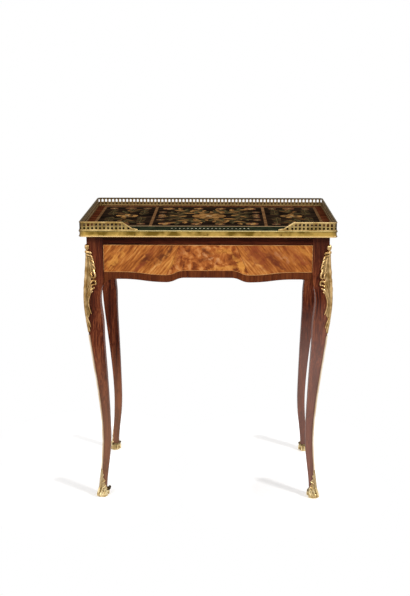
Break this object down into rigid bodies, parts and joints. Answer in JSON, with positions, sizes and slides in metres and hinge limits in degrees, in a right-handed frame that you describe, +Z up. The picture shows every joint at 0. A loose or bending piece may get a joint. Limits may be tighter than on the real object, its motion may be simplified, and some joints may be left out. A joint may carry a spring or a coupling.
{
  "type": "writing table",
  "caption": "Writing table on cabriole legs with a scalloped frieze drawer, gilt corner mounts and a pierced brass gallery round a marquetry top.",
  "frame": {"origin": "on the floor under the middle of the table", "axes": "+Z up, +X to the right seen from the front, -Y towards the sitter, where the drawer opens"},
  "size_m": [0.637, 0.413, 0.74],
  "materials": {
    "gilt_bronze": "gilt, burnished on the high parts",
    "brass": "polished, slightly dulled",
    "tulipwood": "French polish",
    "marquetry": "French polish",
    "boxwood": "French polish",
    "kingwood": "French polish",
    "oak": "waxed"
  },
  "bodies": {
    "table": {"back_banding": "kingwood", "back_rail": "oak", "back_veneer": "tulipwood", "chute_back_left": "gilt_bronze", "chute_back_right": "gilt_bronze", "chute_front_left": "gilt_bronze", "chute_front_right": "gilt_bronze", "drawer_guide_left": "oak", "drawer_guide_right": "oak", "drawer_kicker_left": "oak", "drawer_kicker_right": "oak", "drawer_runner_left": "oak", "drawer_runner_right": "oak", "drawer_stops": "oak", "front_bottom_rail": "oak", "front_top_rail": "kingwood", "gallery_back": "brass", "gallery_front_left": "brass", "gallery_front_right": "brass", "gallery_left": "brass", "gallery_right": "brass", "glue_blocks": "oak", "knee_blocks": "kingwood", "leg_back_left": "kingwood", "leg_back_right": "kingwood", "leg_fillet_back_left": "brass", "leg_fillet_back_right": "brass", "leg_fillet_front_left": "brass", "leg_fillet_front_right": "brass", "leg_front_left": "kingwood", "leg_front_right": "kingwood", "rim_back": "brass", "rim_front": "brass", "rim_left": "brass", "rim_right": "brass", "sabot_back_left": "gilt_bronze", "sabot_back_right": "gilt_bronze", "sabot_front_left": "gilt_bronze", "sabot_front_right": "gilt_bronze", "side_banding_left": "kingwood", "side_banding_right": "kingwood", "side_rail_left": "oak", "side_rail_right": "oak", "side_veneer_left": "tulipwood", "side_veneer_right": "tulipwood", "tenon_pegs": "oak", "top_board": "oak", "top_crossbanding": "kingwood", "top_stringing": "boxwood", "top_veneer_center": "marquetry", "top_veneer_left": "marquetry", "top_veneer_right": "marquetry"},
    "drawer": {"drawer_back": "oak", "drawer_bottom": "oak", "drawer_front": "oak", "drawer_front_banding": "kingwood", "drawer_front_veneer": "tulipwood", "drawer_side_left": "oak", "drawer_side_right": "oak"}
  },
  "joints": [
    {"name": "drawer_slide", "type": "slide", "parent": "table", "child": "drawer", "axis": [0, -1, 0], "range_m": [0, 0.25]}
  ]
}
